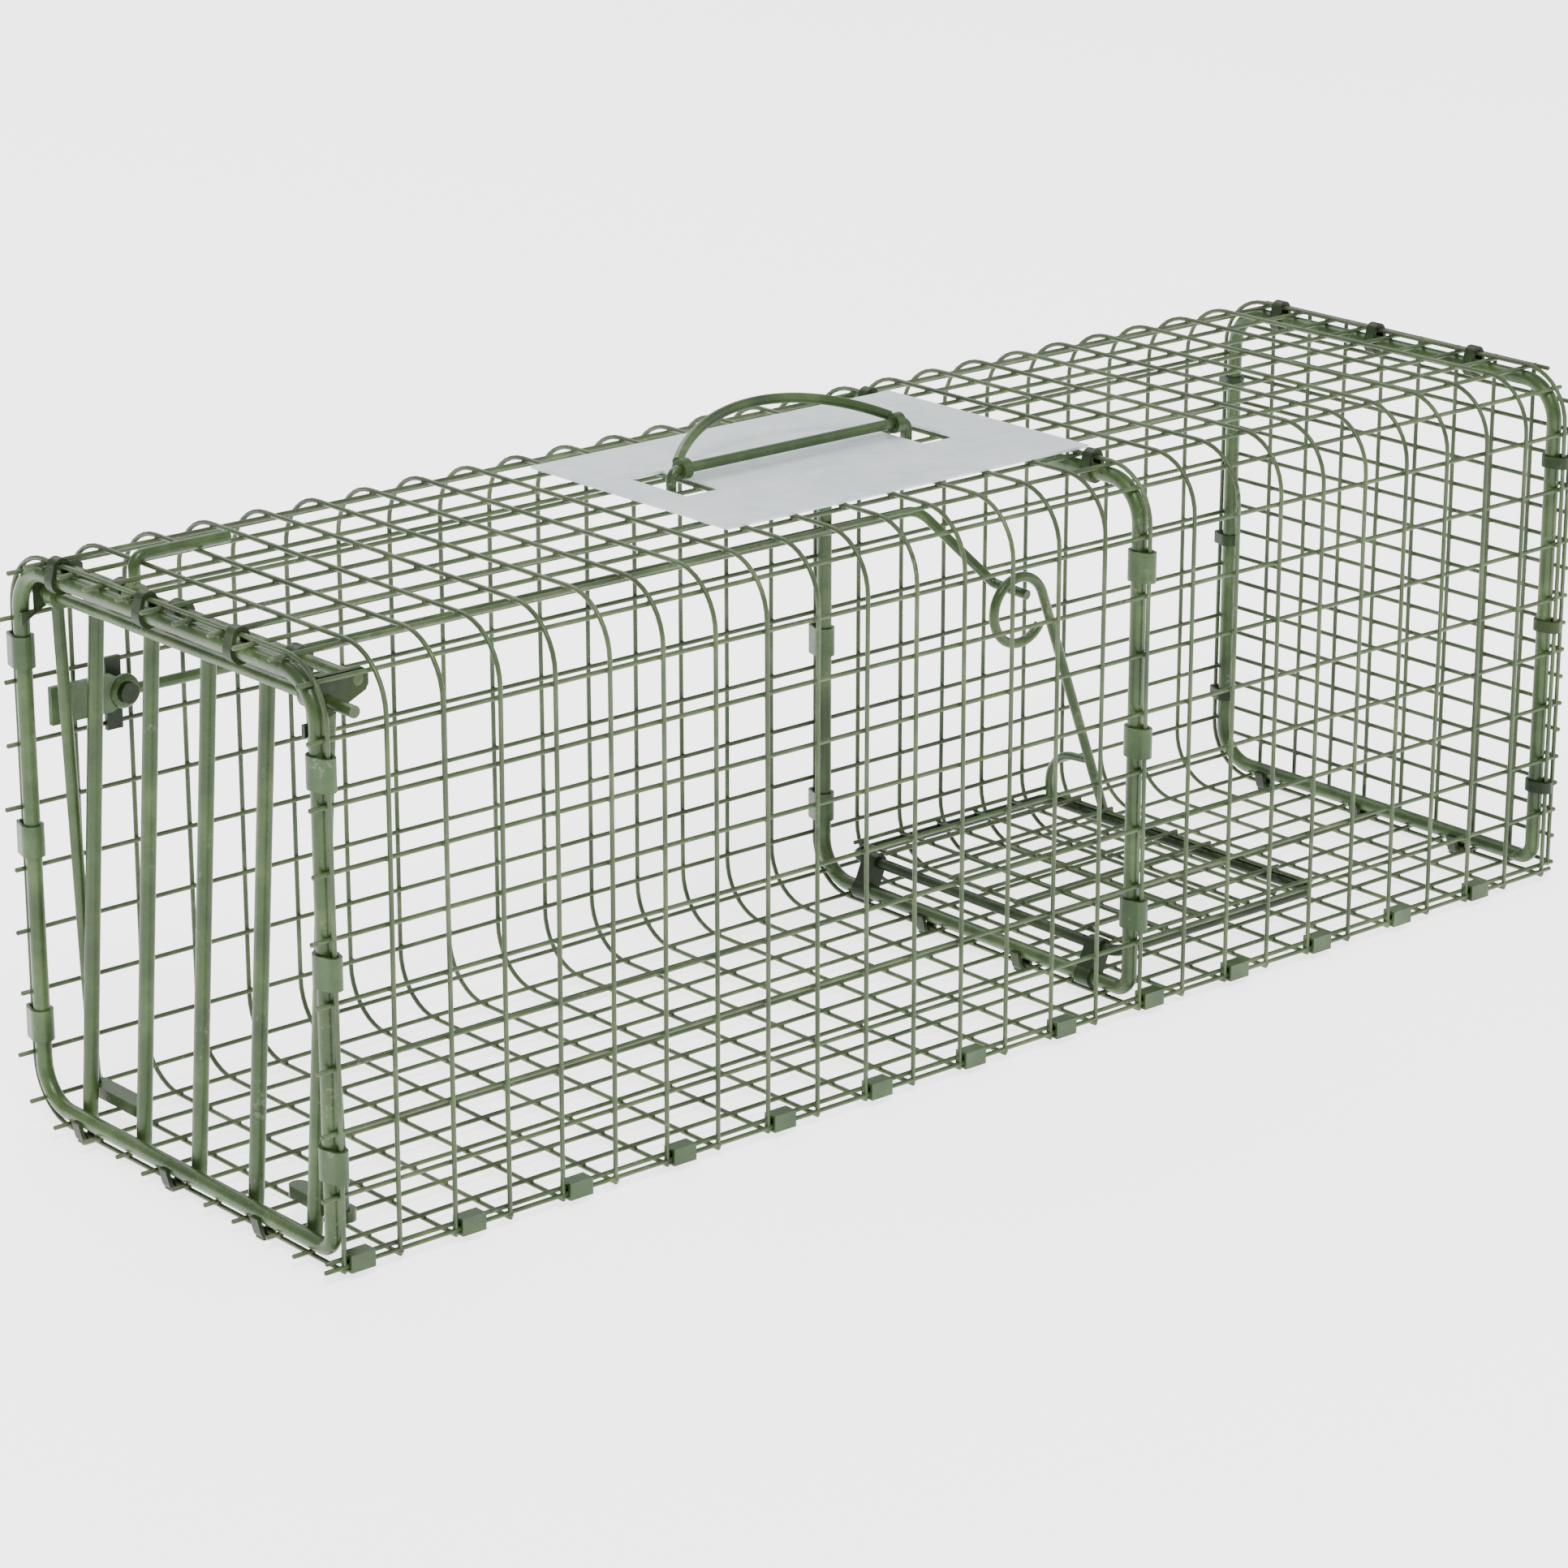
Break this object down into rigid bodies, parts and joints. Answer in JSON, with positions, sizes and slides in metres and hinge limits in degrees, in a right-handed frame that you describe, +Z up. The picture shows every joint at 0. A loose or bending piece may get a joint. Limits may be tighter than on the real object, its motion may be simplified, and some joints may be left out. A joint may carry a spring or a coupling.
{
  "type": "live catch trap",
  "caption": "Long welded-wire live catch cage trap with a drop door, lock arms, treadle pan, trigger rod and folding carry handle.",
  "frame": {"origin": "centre of the cage in plan, at the level it stands on", "axes": "+X from the door towards the closed rear, +Y across the cage towards the trigger rod, +Z up"},
  "size_m": [0.668, 0.214, 0.2524],
  "materials": {
    "coated_wire": "satin",
    "coated_fitting": "satin",
    "galvanised_plate": "satin"
  },
  "bodies": {
    "cage": {"near_wall_mesh": "coated_wire", "far_wall_mesh": "coated_wire", "roof_mesh": "coated_wire", "floor_mesh": "coated_wire", "near_roof_bend": "coated_wire", "far_roof_bend": "coated_wire", "far_floor_bend": "coated_wire", "rear_panel_mesh": "coated_wire", "front_frame": "coated_fitting", "middle_frame": "coated_fitting", "rear_frame": "coated_fitting", "front_frame_clips": "coated_wire", "middle_frame_clips": "coated_wire", "rear_frame_clips": "coated_fitting", "front_frame_rings": "coated_fitting", "middle_frame_rings": "coated_fitting", "rear_frame_rings": "coated_fitting", "seam_clips": "coated_wire", "door_hinge_rod": "coated_wire", "lock_axle": "coated_wire", "hinge_plate_near": "coated_fitting", "hinge_plate_far": "coated_fitting", "roof_plate": "galvanised_plate", "handle_pivot_bar": "coated_wire", "trigger_bracket": "coated_fitting", "trigger_pin": "coated_fitting"},
    "door": {"door_bars": "coated_wire", "door_cross_bar": "coated_wire", "door_hinge_straps": "coated_fitting", "door_lever": "coated_wire"},
    "lock_near": {"lock_arm_near": "coated_wire", "lock_foot_near": "coated_wire"},
    "lock_far": {"lock_arm_far": "coated_wire", "lock_foot_far": "coated_wire"},
    "trigger": {"trigger_rod": "coated_wire", "catch_plate": "coated_wire"},
    "pan": {"pan_frame": "coated_fitting", "pan_mesh": "coated_wire", "pan_hinge_straps": "coated_fitting", "pan_rod": "coated_wire", "pan_rod_brace": "coated_wire"},
    "handle": {"carry_handle": "coated_wire"}
  },
  "joints": [
    {"name": "door_swing", "type": "hinge", "parent": "cage", "child": "door", "pos_m": [-0.3045, 0, 0.219], "axis": [0, -1, 0], "range_deg": [0, 80]},
    {"name": "lock_near_swing", "type": "hinge", "parent": "cage", "child": "lock_near", "pos_m": [-0.3175, -0.0815, 0.2135], "axis": [0, -1, 0], "range_deg": [0, 80]},
    {"name": "lock_far_swing", "type": "hinge", "parent": "cage", "child": "lock_far", "pos_m": [-0.3175, 0.0815, 0.2135], "axis": [0, -1, 0], "range_deg": [0, 80]},
    {"name": "pan_tilt", "type": "hinge", "parent": "cage", "child": "pan", "pos_m": [0.075, 0, 0.009], "axis": [0, 1, 0], "range_deg": [0, 3]},
    {"name": "trigger_tilt", "type": "hinge", "parent": "cage", "child": "trigger", "pos_m": [-0.285, 0.0892, 0.168], "axis": [0, 1, 0], "range_deg": [0, 0.5]},
    {"name": "handle_swing", "type": "hinge", "parent": "cage", "child": "handle", "pos_m": [-0.022, 0.0045, 0.2365], "axis": [1, 0, 0], "range_deg": [-28, 144]}
  ],
  "couplings": [
    {"joint": "lock_near_swing", "follows": "door_swing", "ratio": 1},
    {"joint": "lock_far_swing", "follows": "door_swing", "ratio": 1},
    {"joint": "trigger_tilt", "follows": "pan_tilt", "ratio": 0.164}
  ]
}
